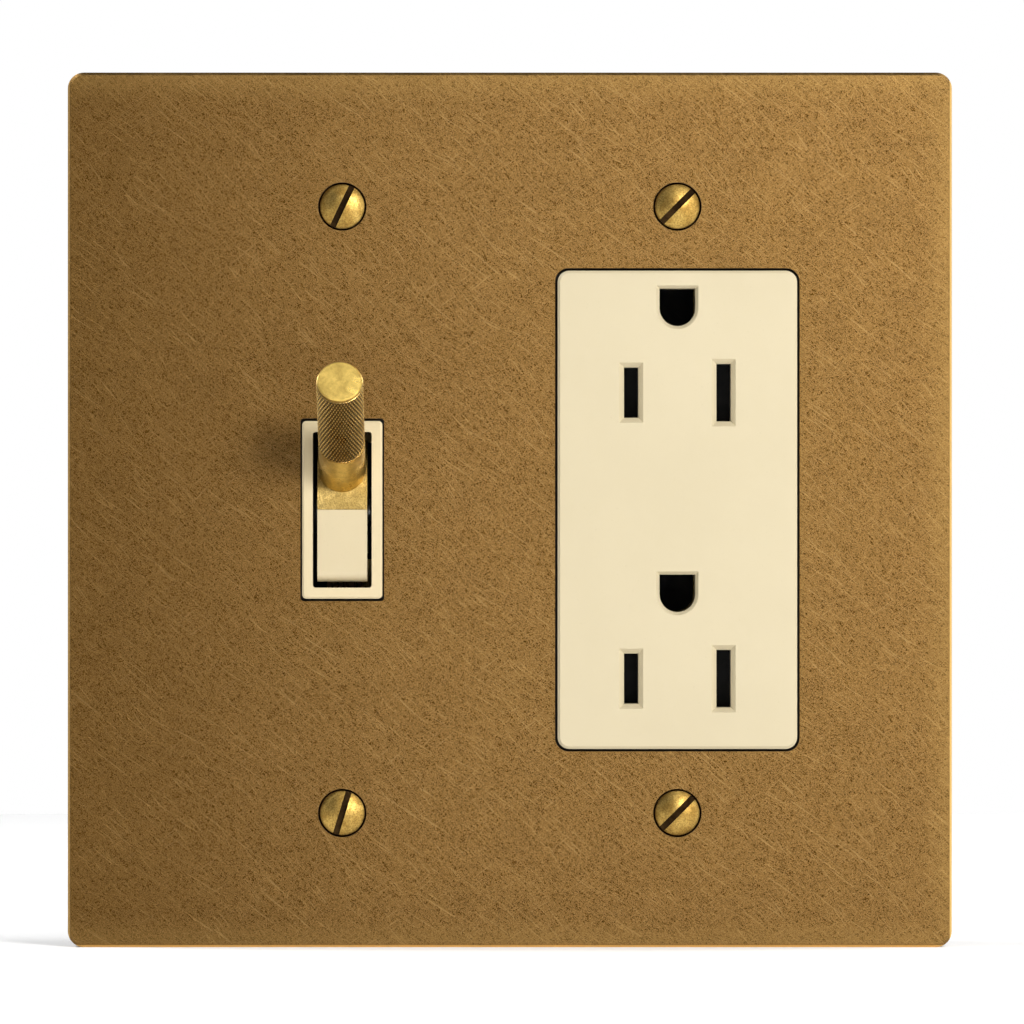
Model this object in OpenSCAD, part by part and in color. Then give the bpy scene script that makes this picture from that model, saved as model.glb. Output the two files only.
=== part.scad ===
// Two-gang wall device: a brass-levered toggle switch beside a two-outlet receptacle.
// X points right, Y points into the wall, Z points up. The origin is on the wall plane,
// at the centre of the wall plate. The front of everything faces -Y. Sizes are in mm.

/* [Wall plate] */
// plate width
plate_w = 121.5; // [110:0.1:130]
// plate height
plate_h = 120.2; // [110:0.1:130]
// plate thickness from the wall to its front face
plate_t = 4.0; // [3:0.1:6]
// thickness of the plate's front sheet, over the hollow rear
sheet_t = 2.0; // [1.2:0.1:3]
// width of the rim that rests on the wall
rim_w = 3.2; // [2:0.1:6]
// outer corner radius
plate_corner_r = 2.2; // [0.5:0.1:6]
// bevel along the front edge
plate_bevel = 0.4; // [0.1:0.05:1]
// distance between the two device centre lines
gang_pitch = 46.04; // [44:0.01:50]
// height between the upper and lower plate screws
screw_spacing = 83.34; // [78:0.01:90]
// switch opening width
switch_window_w = 11.5; // [10:0.1:13]
// switch opening height
switch_window_h = 25.1; // [23:0.1:27]
// receptacle opening width
outlet_window_w = 33.6; // [33:0.1:35]
// receptacle opening height
outlet_window_h = 66.4; // [66:0.1:68]

/* [Plate screws] */
// counterbore radius round each screw head
counterbore_r = 3.33; // [3:0.01:4]
// counterbore depth
counterbore_d = 1.3; // [0.5:0.1:1.6]
// head radius
head_r = 3.05; // [2.8:0.01:3.5]
// how far the dome stands out of the plate
dome_out = 0.7; // [0.2:0.05:1.5]
// slot width
head_slot_w = 0.85; // [0.5:0.05:1.2]
// thread radius
thread_r = 1.75; // [1.5:0.01:2.5]
// length of the thread behind the washer
thread_l = 23; // [12:1:30]

/* [Lever] */
// lever tilt above or below the horizontal at each end of its travel
lever_tilt = 28; // [20:1:32]
// distance of the pivot behind the wall plane
pivot_y = 7.6; // [6:0.1:10]
// crown radius about the pivot
crown_r = 11.6; // [10:0.1:13]
// crown thickness
crown_t = 1.6; // [1:0.1:2.5]
// rocker width
rocker_w = 6.84; // [6:0.01:7.5]
// length of each flat flank past the crown
flank_l = 9.9; // [8:0.1:11]
// flank thickness
flank_t = 3.0; // [2:0.1:4]
// neck and grip radius
grip_r = 3.2; // [2.5:0.05:4]
// distance from the pivot to the grip's lower end
grip_start = 19.4; // [16:0.1:24]
// distance from the pivot to the grip's upper end
grip_end = 36.6; // [30:0.1:42]
// end cap radius
cap_r = 3.05; // [2:0.05:4]
// end cap height
cap_h = 0.55; // [0.3:0.05:2]
// chamfer round the end cap
cap_chamfer = 0.2; // [0.05:0.05:0.3]
// pivot pin radius
pin_r = 1.5; // [1:0.05:2]

/* [Switch frame and body] */
// collar width
collar_w = 11.0; // [10:0.1:12]
// collar height
collar_h = 24.4; // [23:0.1:26]
// collar opening width
collar_open_w = 8.1; // [7.5:0.1:9]
// collar opening height
collar_open_h = 21.4; // [20:0.1:23]
// how far the collar stands out of the plate
collar_out = 0.4; // [0:0.05:1]
// switch body width
body_w = 25.6; // [22:0.1:30]
// switch body height
body_h = 56; // [50:1:64]
// depth of both bodies behind the wall plane
body_d = 25.6; // [20:0.1:32]
// body wall thickness
wall_t = 2.0; // [1.5:0.1:3]
// metal strap thickness
strap_t = 1.4; // [1:0.1:2]
// metal strap height
strap_h = 106.4; // [100:0.1:110]

/* [Receptacle] */
// face width
face_w = 32.9; // [32:0.1:34]
// face height
face_h = 65.7; // [65:0.1:67]
// how far the face stands out of the plate
face_out = 0.6; // [0:0.05:1.5]
// distance of each blade slot from the centre line
slot_x = 6.35; // [6:0.05:7]
// height of the upper outlet's slots
upper_slot_z = 16.1; // [12:0.1:20]
// height of the lower outlet's slots
lower_slot_z = -23.2; // [-26:0.1:-18]
// height of each ground hole over its slots
ground_rise = 11.6; // [11:0.05:12.5]
// slot width
slot_w = 1.95; // [1.7:0.05:2.4]
// hot slot height
hot_slot_h = 6.9; // [6.5:0.05:7.5]
// neutral slot height
neutral_slot_h = 7.9; // [7.5:0.05:9]
// radius of the ground hole's round bottom
ground_r = 2.45; // [2.4:0.01:2.8]
// height of the ground hole's flat top over the centre of its round bottom
ground_top = 2.7; // [2.45:0.05:3.2]
// width of the bevel round the ground hole
ground_bevel = 0.45; // [0.2:0.05:0.8]
// width of the lead-in bevel round each slot
slot_bevel = 0.7; // [0.3:0.05:1]
// shutter travel
shutter_travel = 3.0; // [2:0.1:4]

/* [Hidden] */
$fn = 48;
eps = 0.01;
xs = -gang_pitch / 2; // switch centre line
xr = gang_pitch / 2; // receptacle centre line
screw_z = screw_spacing / 2;
front_y = -plate_t;
sheet_y = -plate_t + sheet_t; // rear of the plate's front sheet
ledge_y = -plate_t + counterbore_d; // seat under each screw head
sweep_r = 14.9; // clears the ends of the rocker's flanks
neck_r = 1.45; // screw neck, thinner than the thread so the washer stays on
neck_end = 1.4;
washer_r = 3.4;
slot_angles = [[-1, 1, 25.5], [1, 1, 45], [-1, -1, 17], [1, -1, 45]];
rivet_x = 9.0;
rivet_z = 24.2;
rivet_r = 1.2;
// see-saw contact arm
plunger_r = 1.25;
plunger_tip = 10.9; // distance of the plunger's tip from the pivot
arm_swing = 6; // arm tilt at each end of the travel
arm_t = 1.0;
arm_w = 5.0;
arm_gap = 0.08;
fulcrum_y = 19.8;
fulcrum_r = 1.0;
floor_y = body_d - wall_t;
// receptacle inside
stem_w = 28.4;
stem_h = 62.0;
stem_back = 3.0;
base_w = 33;
base_h = 66;
shutter_y = 3.3;
shutter_t = 2.2;
deck_y = 5.8;
deck_t = 1.0;
post_x = 12.2;
post_z = 29.2;
tie_r = 1.2;
blade_gap = 1.7;
leaf_t = 0.5;
outlets = [upper_slot_z, lower_slot_z];

// ---------- shapes ----------

module block(x0, x1, y0, y1, z0, z1) {
    translate([x0, y0, z0])
        cube([x1 - x0, y1 - y0, z1 - z0]);
}

module rod_y(x, z, y0, y1, r) {
    translate([x, y0, z])
        rotate([-90, 0, 0])
            cylinder(h = y1 - y0, r = r);
}

module rod_x(y, z, x0, x1, r) {
    translate([x0, y, z])
        rotate([0, 90, 0])
            cylinder(h = x1 - x0, r = r);
}

module cone_y(x, z, y0, y1, r0, r1) {
    translate([x, y0, z])
        rotate([-90, 0, 0])
            cylinder(h = y1 - y0, r1 = r0, r2 = r1);
}

module rounded_2d(w, h, r) {
    square([w - 2 * r, h], center = true);
    square([w, h - 2 * r], center = true);
    for (sx = [-1, 1]) {
        for (sz = [-1, 1]) {
            translate([sx * (w / 2 - r), sz * (h / 2 - r)])
                circle(r = r);
        }
    }
}

// a flat outline drawn in X and Z, from front y0 to back y1
module slab(x, z, y0, y1) {
    translate([x, y1, z])
        rotate([90, 0, 0])
            linear_extrude(height = y1 - y0)
                children();
}

// a side outline drawn forwards and upwards, spread evenly about x
module side(x, width) {
    translate([x, 0, 0])
        rotate([90, 0, -90])
            linear_extrude(height = width, center = true)
                children();
}

// rounded rectangle slab with a bevel round its front
module bevelled_slab(x, z, w, h, r, y0, y1, c) {
    wide = w / 2;
    tall = h / 2;
    translate([x, 0, z]) {
        linear_extrude(height = h - 2 * r, center = true)
            polygon([[-wide, y1], [wide, y1], [wide, y0 + c],
                     [wide - c, y0], [-wide + c, y0], [-wide, y0 + c]]);
        rotate([0, 90, 0])
            linear_extrude(height = w - 2 * r, center = true)
                polygon([[-tall, y1], [tall, y1], [tall, y0 + c],
                         [tall - c, y0], [-tall + c, y0], [-tall, y0 + c]]);
        for (sx = [-1, 1]) {
            for (sz = [-1, 1]) {
                cone_y(sx * (wide - r), sz * (tall - r), y0, y0 + c, r - c, r);
                rod_y(sx * (wide - r), sz * (tall - r), y0 + c, y1, r);
            }
        }
    }
}

// local Z along the lever at rest, from the pivot outwards
module on_lever() {
    translate([xs, pivot_y, 0])
        rotate([90 - lever_tilt, 0, 0])
            children();
}

// a coil spring standing on Z, made of tilted half turns that meet end to end
module coil(mean_r, wire_r, height, turns) {
    pitch = (height - 2 * wire_r) / turns;
    tilt = asin(pitch / 4 / mean_r);
    for (i = [0:2 * turns - 1]) {
        odd = i % 2;
        translate([0, 0, wire_r + pitch * (i + 0.5) / 2])
            rotate([0, tilt * (1 - 2 * odd), 0])
                rotate([0, 0, 180 * odd])
                    rotate_extrude(angle = 180)
                        translate([mean_r, 0])
                            circle(r = wire_r, $fn = 16);
    }
}

// ---------- wall plate and its screws ----------

module faceplate() {
    color([0.55, 0.42, 0.22])
    difference() {
        bevelled_slab(0, 0, plate_w, plate_h, plate_corner_r, front_y, 0, plate_bevel);
        // hollow rear, with a centre rib left standing between the two devices
        slab(-(plate_w / 2 - rim_w + 5) / 2, 0, sheet_y, eps)
            rounded_2d(plate_w / 2 - rim_w - 5, plate_h - 2 * rim_w, 2);
        slab((plate_w / 2 - rim_w + 3.4) / 2, 0, sheet_y, eps)
            rounded_2d(plate_w / 2 - rim_w - 3.4, plate_h - 2 * rim_w, 2);
        slab(xs, 0, front_y - 1, 1)
            rounded_2d(switch_window_w, switch_window_h, 0.5);
        slab(xr, 0, front_y - 1, 1)
            rounded_2d(outlet_window_w, outlet_window_h, 1.85);
        for (x = [xs, xr]) {
            for (z = [-screw_z, screw_z]) {
                rod_y(x, z, front_y - 1, ledge_y, counterbore_r);
                rod_y(x, z, front_y - 1, 1, 2.0);
            }
        }
    }
}

// the dome is part of a ball that meets the head's rim
module screw_head() {
    rise = dome_out + 0.25;
    ball_r = (head_r * head_r + rise * rise) / (2 * rise);
    rim_angle = asin(head_r / ball_r);
    dome = [for (i = [0:10])
        let (a = rim_angle * (1 - i / 10))
        [ball_r * sin(a), dome_out - front_y - ball_r + ball_r * cos(a)]];
    rotate([90, 0, 0])
        rotate_extrude()
            polygon(concat([[0, -ledge_y], [head_r, -ledge_y]], dome));
}

module faceplate_screws() {
    color([0.78, 0.62, 0.32])
    for (s = slot_angles) {
        translate([s[0] * gang_pitch / 2, 0, s[1] * screw_z]) {
            difference() {
                screw_head();
                rotate([0, s[2], 0])
                    block(-head_slot_w / 2, head_slot_w / 2, front_y - 2, front_y + 0.25, -4, 4);
            }
            rod_y(0, 0, ledge_y, neck_end, neck_r);
            rod_y(0, 0, neck_end, neck_end + thread_l, thread_r);
            cone_y(0, 0, neck_end + thread_l, neck_end + thread_l + 0.8, thread_r, thread_r - 0.7);
        }
    }
}

module captive_washers() {
    color([0.45, 0.12, 0.08])
    for (x = [xs, xr]) {
        for (z = [-screw_z, screw_z]) {
            difference() {
                rod_y(x, z, 0.1, 0.9, washer_r);
                rod_y(x, z, 0, 1, neck_r + 0.1);
            }
        }
    }
}

// ---------- switch: strap, frame, body ----------

module strap_outline(mid_w, ear_w) {
    rounded_2d(mid_w, strap_h - 14, 1);
    for (s = [-1, 1]) {
        translate([0, s * (strap_h / 2 - 3.6)])
            rounded_2d(ear_w, 7.2, 1.2);
        translate([0, s * (strap_h / 2 - 8.5)])
            square([mid_w + 3, 6], center = true);
    }
}

module strap_cuts(x) {
    for (s = [-1, 1]) {
        slab(x, s * screw_z, -2, 1)
            rounded_2d(8.5, 4.0, 1.99);
        // score lines that let the ears be snapped off
        for (e = [-1, 1]) {
            slab(x + e * 12.2, s * (strap_h / 2 - 3.6), -2, 1)
                rounded_2d(1.0, 4.4, 0.49);
        }
    }
}

module ground_tab(x, z) {
    difference() {
        block(x - 12, x - 10.6, -strap_t, 10, z - 4.4, z + 4.4);
        rod_x(5.4, z, x - 13, x - 9, 1.8);
    }
}

module switch_strap() {
    color([0.75, 0.76, 0.78]) {
        difference() {
            slab(xs, 0, -strap_t, 0)
                strap_outline(24, 35);
            slab(xs, 0, -2, 1)
                rounded_2d(12.6, 27.4, 1);
            strap_cuts(xs);
            for (sx = [-1, 1]) {
                for (sz = [-1, 1]) {
                    rod_y(xs + sx * rivet_x, sz * rivet_z, -2, 1, rivet_r + 0.05);
                }
            }
        }
        ground_tab(xs, -33.4);
    }
}

module switch_front_cover() {
    color([0.93, 0.88, 0.74])
    difference() {
        union() {
            bevelled_slab(xs, 0, collar_w, collar_h, 0.55, front_y - collar_out, sheet_y + 0.2, 0.25);
            slab(xs, 0, sheet_y + 0.2, 0)
                rounded_2d(12.2, 27, 0.8);
            slab(xs, 0, 0, 1.6)
                rounded_2d(body_w, body_h, 1.5);
        }
        slab(xs, 0, front_y - 1, 2)
            rounded_2d(collar_open_w, collar_open_h, 0.4);
        // room behind the opening for the flank ends to swing
        translate([xs, pivot_y, 0])
            rotate([0, 90, 0])
                cylinder(h = collar_open_w, r = sweep_r, center = true, $fn = 96);
        for (sx = [-1, 1]) {
            for (sz = [-1, 1]) {
                rod_y(xs + sx * rivet_x, sz * rivet_z, -1, 2, rivet_r + 0.05);
            }
        }
    }
}

module switch_housing() {
    inner = body_w / 2 - wall_t;
    color([0.16, 0.13, 0.11])
    difference() {
        union() {
            difference() {
                slab(xs, 0, 1.6, body_d)
                    rounded_2d(body_w, body_h, 1.5);
                block(xs - inner, xs + inner, 1, floor_y, -body_h / 2 + wall_t, body_h / 2 - wall_t);
            }
            // corner posts for the rivets
            for (sx = [-1, 1]) {
                for (sz = [-1, 1]) {
                    block(xs + sx * 9.0 - 2.1, xs + sx * 9.0 + 2.1, 1.6, floor_y,
                          sz * 24.4 - 2.2, sz * 24.4 + 2.2);
                }
            }
            // bosses that carry the pivot pin and keep the rocker central
            for (s = [-1, 1]) {
                rod_x(pivot_y, 0, xs + (s < 0 ? -inner - 0.5 : 3.7), xs + (s < 0 ? -3.7 : inner + 0.5), 3.2);
            }
            // ribs under the terminal strips
            block(xs - 2, xs + 2, 22.2, floor_y, 3.5, 13);
            block(xs - 2, xs + inner, 21.9, floor_y, -11, -7);
            block(xs + 4, xs + inner, 22.2, floor_y, 9, 13);
        }
        rod_x(pivot_y, 0, xs - 12.2, xs + 12.2, pin_r + 0.03);
        // side openings over the two terminal screws
        for (z = [-14, 14]) {
            block(xs + inner - 0.2, xs + body_w, 11, 21.6, z - 4.8, z + 4.8);
        }
        for (sx = [-1, 1]) {
            for (sz = [-1, 1]) {
                rod_y(xs + sx * rivet_x, sz * rivet_z, 1, body_d + 1, rivet_r + 0.05);
            }
        }
    }
}

module switch_rivets() {
    color([0.72, 0.7, 0.66])
    for (sx = [-1, 1]) {
        for (sz = [-1, 1]) {
            x = xs + sx * rivet_x;
            z = sz * rivet_z;
            rod_y(x, z, -strap_t - 0.35, -strap_t, 2.0);
            rod_y(x, z, -strap_t, body_d, rivet_r);
            rod_y(x, z, body_d, body_d + 0.7, 2.0);
        }
    }
}

// ---------- lever ----------

// the upper flank with its rounded end, drawn with the lever level
module flank_2d() {
    out = [cos(lever_tilt), sin(lever_tilt)];
    along = [-sin(lever_tilt), cos(lever_tilt)];
    round_r = flank_t / 2;
    inner = (crown_r - flank_t) * out;
    end = (crown_r - round_r) * out + (flank_l - round_r) * along;
    polygon([crown_r * out, crown_r * out + (flank_l - round_r) * along,
             inner + (flank_l - round_r) * along, inner]);
    translate(end)
        circle(r = round_r);
    // web from the hub to the flank
    polygon([[0, 0], inner + 0.2 * out, inner + 0.2 * out + 5 * along]);
}

module sector_2d(r, a) {
    intersection() {
        circle(r = r, $fn = 96);
        polygon([[0, 0], 20 * [cos(a), -sin(a)], 20 * [1, 0], 20 * [cos(a), sin(a)]]);
    }
}

module rocker() {
    color([0.93, 0.88, 0.74])
    difference() {
        translate([0, pivot_y, 0])
            side(xs, rocker_w)
                rotate(lever_tilt)
                    difference() {
                        union() {
                            circle(r = 4);
                            sector_2d(crown_r - crown_t - 0.02, lever_tilt + 1);
                            flank_2d();
                            mirror([0, 1])
                                flank_2d();
                            translate([-8.6, -2.3])
                                square([8.6, 4.6]);
                        }
                        circle(r = pin_r + 0.05);
                    }
        on_lever() {
            // bore for the snap spring and plunger
            translate([0, 0, -9])
                cylinder(h = 9 - 2.8, r = plunger_r + 0.1);
            // seat for the stud
            translate([0, 0, 7.5])
                cylinder(h = 4, r = pin_r + 0.03);
        }
    }
}

module lever_crown() {
    color([0.80, 0.62, 0.30])
    difference() {
        translate([0, pivot_y, 0])
            side(xs, rocker_w)
                rotate(lever_tilt)
                    difference() {
                        sector_2d(crown_r, lever_tilt - 0.15);
                        circle(r = crown_r - crown_t, $fn = 96);
                    }
        on_lever()
            cylinder(h = 14, r = pin_r + 0.03);
    }
}

module lever_neck() {
    color([0.80, 0.62, 0.30])
    on_lever()
    difference() {
        translate([0, 0, crown_r - 1.2])
            cylinder(h = grip_start - crown_r + 1.2, r = grip_r);
        rotate([0, 90, 0])
            cylinder(h = 20, r = crown_r + 0.02, center = true, $fn = 96);
        cylinder(h = 30, r = pin_r + 0.03);
    }
}

module lever_grip() {
    color([0.76, 0.58, 0.28])
    on_lever()
    difference() {
        union() {
            translate([0, 0, grip_start])
                cylinder(h = 0.3, r1 = grip_r - 0.3, r2 = grip_r);
            translate([0, 0, grip_start + 0.3])
                cylinder(h = grip_end - grip_start - 0.6, r = grip_r);
            translate([0, 0, grip_end - 0.3])
                cylinder(h = 0.3, r1 = grip_r, r2 = grip_r - 0.3);
        }
        translate([0, 0, grip_start - 1])
            cylinder(h = grip_end, r = pin_r + 0.03);
    }
}

module lever_end_cap() {
    color([0.86, 0.68, 0.36])
    on_lever() {
        translate([0, 0, grip_end])
            cylinder(h = cap_h - cap_chamfer, r = cap_r);
        translate([0, 0, grip_end + cap_h - cap_chamfer])
            cylinder(h = cap_chamfer, r1 = cap_r, r2 = cap_r - cap_chamfer);
        translate([0, 0, grip_end - 3])
            cylinder(h = 3, r = pin_r);
    }
}

module lever_stud() {
    color([0.6, 0.6, 0.62])
    on_lever()
        translate([0, 0, 7.6])
            cylinder(h = grip_end - 3.2 - 7.6, r = pin_r);
}

module pivot_pin() {
    color([0.7, 0.71, 0.73])
        rod_x(pivot_y, 0, xs - 12.1, xs + 12.1, pin_r);
}

// ---------- snap action and contacts ----------

module snap_spring() {
    color([0.7, 0.71, 0.73])
    on_lever()
        translate([0, 0, -6.2])
            coil(0.95, 0.2, 3.3, 5);
}

module snap_plunger() {
    color([0.85, 0.84, 0.8])
    on_lever() {
        translate([0, 0, -plunger_tip + plunger_r])
            sphere(r = plunger_r);
        translate([0, 0, -plunger_tip + plunger_r])
            cylinder(h = plunger_tip - plunger_r - 6.3, r = plunger_r);
    }
}

function turned(p, a) = [p[0] * cos(a) - p[1] * sin(a), p[0] * sin(a) + p[1] * cos(a)];
fulcrum = [fulcrum_y, 0];
pivot = [pivot_y, 0];
// centre of the plunger's tip when the lever is tilted by t, then the same point seen from the arm
function tip_centre(t) = pivot + (plunger_tip - plunger_r) * [cos(t), -sin(t)];
function seen_from_arm(t) = turned(tip_centre(t) - fulcrum, -t * arm_swing / lever_tilt) + fulcrum;
function unit(v) = v / norm(v);
function arm_normal(t) =
    let (d = unit(seen_from_arm(t + 1) - seen_from_arm(t - 1)))
    [-d[1], d[0]];
function arm_point(t, offset) = seen_from_arm(t) + offset * arm_normal(t);
arm_front = [for (t = [-lever_tilt:4:lever_tilt]) arm_point(t, plunger_r + arm_gap)];
arm_back = [for (t = [lever_tilt:-4:-lever_tilt]) arm_point(t, plunger_r + arm_gap + arm_t)];
tab_y = arm_point(lever_tilt, plunger_r + arm_gap)[0];
tab_z = arm_point(lever_tilt, plunger_r + arm_gap)[1];

// turn something drawn with the arm level to where it rests
module at_arm_rest() {
    translate([0, fulcrum_y, 0])
        rotate([arm_swing, 0, 0])
            translate([0, -fulcrum_y, 0])
                children();
}

module contact_arm() {
    color([0.78, 0.45, 0.25])
    at_arm_rest() {
        translate([xs, 0, 0])
            rotate([90, 0, 90])
                linear_extrude(height = arm_w, center = true)
                    polygon(concat(arm_front, arm_back));
        rod_x(fulcrum_y, 0, xs - arm_w / 2, xs + arm_w / 2, fulcrum_r);
        block(xs - arm_w / 2, xs + arm_w / 2, tab_y, tab_y + arm_t, -10.6, tab_z);
        block(xs - arm_w / 2, xs + arm_w / 2, tab_y, tab_y + arm_t, -tab_z, -tab_z + 2);
    }
}

module moving_contact() {
    color([0.85, 0.85, 0.87])
    at_arm_rest()
        rod_y(xs, -8.6, tab_y + arm_t, tab_y + arm_t + 0.7, 1.5);
}

module fixed_contact() {
    color([0.85, 0.85, 0.87])
    difference() {
        rod_y(xs, -8.75, 18, 20.9, 1.5);
        at_arm_rest()
            block(xs - 3, xs + 3, 10, tab_y + arm_t + 0.75, -14, -3);
    }
}

module terminal_plate(z0, z1, z) {
    difference() {
        block(xs + 9.8, xs + 10.8, 11.2, 21.9, z0, z1);
        rod_x(16.2, z, xs + 9, xs + 12, 1.8);
    }
}

module common_terminal() {
    color([0.82, 0.66, 0.34]) {
        terminal_plate(9.4, 18.6, 14);
        block(xs - 2.5, xs + 10.8, 21.2, 22.2, 9.4, 12.6);
        block(xs - 2.5, xs + 2.5, 21.2, 22.2, -2.5, 12.6);
        difference() {
            block(xs - 2.4, xs + 2.4, 20.1, 21.3, -2.4, 2.4);
            rod_x(fulcrum_y, 0, xs - 3, xs + 3, fulcrum_r + 0.05);
        }
    }
}

module fixed_contact_terminal() {
    color([0.82, 0.66, 0.34]) {
        terminal_plate(-18.6, -6.9, -14);
        block(xs - 2, xs + 10.8, 20.9, 21.9, -10.8, -6.9);
    }
}

// binding screw along X, head outwards: s is +1 for a right-hand side, -1 for a left-hand one
module binding_screw(x, y, z, s, shank, r_head) {
    translate([x, y, z])
        rotate([0, s * 90, 0]) {
            difference() {
                union() {
                    cylinder(h = 1.4, r = r_head);
                    translate([0, 0, 1.4])
                        cylinder(h = 0.4, r1 = r_head, r2 = r_head - 0.6);
                }
                translate([-0.5, -6, 0.9])
                    cube([1, 12, 2]);
                translate([-2.2, -0.5, 0.9])
                    cube([4.4, 1, 2]);
            }
            translate([0, 0, -shank])
                cylinder(h = shank, r = thread_r);
        }
}

module switch_terminal_screws() {
    color([0.84, 0.68, 0.36])
    for (z = [-14, 14]) {
        binding_screw(xs + 12.2, 16.2, z, 1, 5.4, 3.9);
    }
}

module switch_ground_screw() {
    color([0.15, 0.45, 0.22])
        binding_screw(xs - 12.9, 5.4, -33.4, -1, 6.5, 3.3);
}

// ---------- receptacle ----------

// straight throat with a sloping lead-in on all four sides
module slot_cut(x, z, h) {
    mouth_y = front_y - face_out;
    block(x - slot_w / 2, x + slot_w / 2, mouth_y - 1, 4, z - h / 2, z + h / 2);
    intersection() {
        translate([x, 0, z])
            linear_extrude(height = h + 4, center = true)
                polygon([[-slot_w / 2, mouth_y + 0.8], [slot_w / 2, mouth_y + 0.8],
                         [slot_w / 2 + slot_bevel, mouth_y - eps], [-slot_w / 2 - slot_bevel, mouth_y - eps]]);
        translate([0, 0, z])
            side(x, slot_w + 4)
                polygon([[-mouth_y - 0.8, -h / 2], [-mouth_y - 0.8, h / 2],
                         [-mouth_y + eps, h / 2 + slot_bevel], [-mouth_y + eps, -h / 2 - slot_bevel]]);
    }
}

// half round below, square-cornered above
module ground_outline() {
    circle(r = ground_r);
    translate([-ground_r, 0])
        square([2 * ground_r, ground_top]);
}

module ground_cut(z) {
    mouth_y = front_y - face_out;
    slab(xr, z, mouth_y - 1, 4)
        ground_outline();
    cone_y(xr, z, mouth_y - eps, mouth_y + 0.6, ground_r + ground_bevel, ground_r);
    intersection() {
        translate([xr, 0, z])
            linear_extrude(height = 4)
                polygon([[-ground_r, mouth_y + 0.6], [ground_r, mouth_y + 0.6],
                         [ground_r + ground_bevel, mouth_y - eps],
                         [-ground_r - ground_bevel, mouth_y - eps]]);
        translate([0, 0, z])
            side(xr, 8)
                polygon([[-mouth_y - 0.6, -1], [-mouth_y - 0.6, ground_top],
                         [-mouth_y + eps, ground_top + ground_bevel], [-mouth_y + eps, -1]]);
    }
}

module receptacle_face() {
    color([0.93, 0.88, 0.74])
    difference() {
        union() {
            bevelled_slab(xr, 0, face_w, face_h, 1.6, front_y - face_out, -strap_t, 0.35);
            slab(xr, 0, -strap_t, stem_back)
                rounded_2d(stem_w, stem_h, 1);
        }
        for (z = outlets) {
            slot_cut(xr - slot_x, z, hot_slot_h);
            slot_cut(xr + slot_x, z, neutral_slot_h);
            ground_cut(z + ground_rise);
        }
        for (sx = [-1, 1]) {
            for (sz = [-1, 1]) {
                rod_y(xr + sx * post_x, sz * post_z, -1.5, 4, tie_r + 0.05);
            }
        }
    }
}

module receptacle_strap() {
    color([0.75, 0.76, 0.78]) {
        difference() {
            slab(xr, 0, -strap_t, 0) {
                strap_outline(30, 38);
                rounded_2d(38, 70, 2);
            }
            slab(xr, 0, -2, 1)
                rounded_2d(stem_w + 0.6, stem_h + 0.6, 1);
            strap_cuts(xr);
        }
        ground_tab(xr, -40);
    }
}

module receptacle_base() {
    inner_w = base_w - 2 * wall_t;
    inner_h = base_h - 2 * wall_t;
    color([0.20, 0.17, 0.15])
    difference() {
        union() {
            difference() {
                slab(xr, 0, 0, body_d)
                    rounded_2d(base_w, base_h, 2);
                slab(xr, 0, -1, floor_y)
                    square([inner_w, inner_h], center = true);
            }
            for (sx = [-1, 1]) {
                for (sz = [-1, 1]) {
                    block(xr + sx * post_x - 2.3, xr + sx * post_x + 2.3, deck_y + deck_t, floor_y,
                          sz * post_z - 2.2, sz * post_z + 2.2);
                }
            }
            // ledges that carry the shutter deck, clear of the ground pins
            for (sx = [-1, 1]) {
                for (sz = [-1, 1]) {
                    block(xr + sx * (inner_w / 4 + 2.5) - (inner_w / 4 - 2.5),
                          xr + sx * (inner_w / 4 + 2.5) + (inner_w / 4 - 2.5),
                          deck_y + deck_t, deck_y + deck_t + 2, sz * 30.6 - 0.6, sz * 30.6 + 0.6);
                }
            }
            // fin between the two outlets, beside the ground strip
            block(xr - 2.6, xr + 4.6, 12, floor_y, 3, 4.6);
        }
        // side openings over the terminal screws
        for (s = [-1, 1]) {
            for (z = [-9.6, 9.6]) {
                block(xr + s * 16.6 - 2.4, xr + s * 16.6 + 2.4, 9, 20, z - 4.8, z + 4.8);
            }
        }
        for (sx = [-1, 1]) {
            for (sz = [-1, 1]) {
                rod_y(xr + sx * post_x, sz * post_z, 2, body_d + 1, tie_r + 0.05);
                rod_y(xr + sx * post_x, sz * post_z, body_d - 1.2, body_d + 1, 2.2);
            }
        }
        // channel for the ground strip
        block(xr - 4.4, xr - 0.8, -1, 19.2, -base_h / 2 + 0.5, -base_h / 2 + wall_t + eps);
    }
}

module receptacle_tie_screws() {
    color([0.7, 0.71, 0.73])
    for (sx = [-1, 1]) {
        for (sz = [-1, 1]) {
            x = xr + sx * post_x;
            z = sz * post_z;
            rod_y(x, z, -1.2, body_d - 1.15, tie_r);
            difference() {
                rod_y(x, z, body_d - 1.15, body_d + 0.2, 2.0);
                block(x - 1.5, x + 1.5, body_d - 0.5, body_d + 1, z - 0.25, z + 0.25);
                block(x - 0.25, x + 0.25, body_d - 0.5, body_d + 1, z - 1.5, z + 1.5);
            }
        }
    }
}

module shutter_deck() {
    color([0.12, 0.12, 0.13])
    difference() {
        block(xr - 14.3, xr + 14.3, deck_y, deck_y + deck_t, -30.8, 30.8);
        for (z = outlets) {
            for (s = [-1, 1]) {
                block(xr + s * slot_x - 1.6, xr + s * slot_x + 1.6, 5, 8, z - 4.6, z + 4.6);
            }
            block(xr - 3, xr + 3, 5, 8, z + ground_rise - 3.2, z + ground_rise + 3.2);
        }
        for (sx = [-1, 1]) {
            for (sz = [-1, 1]) {
                rod_y(xr + sx * post_x, sz * post_z, 5, 8, tie_r + 0.3);
            }
        }
    }
}

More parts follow.
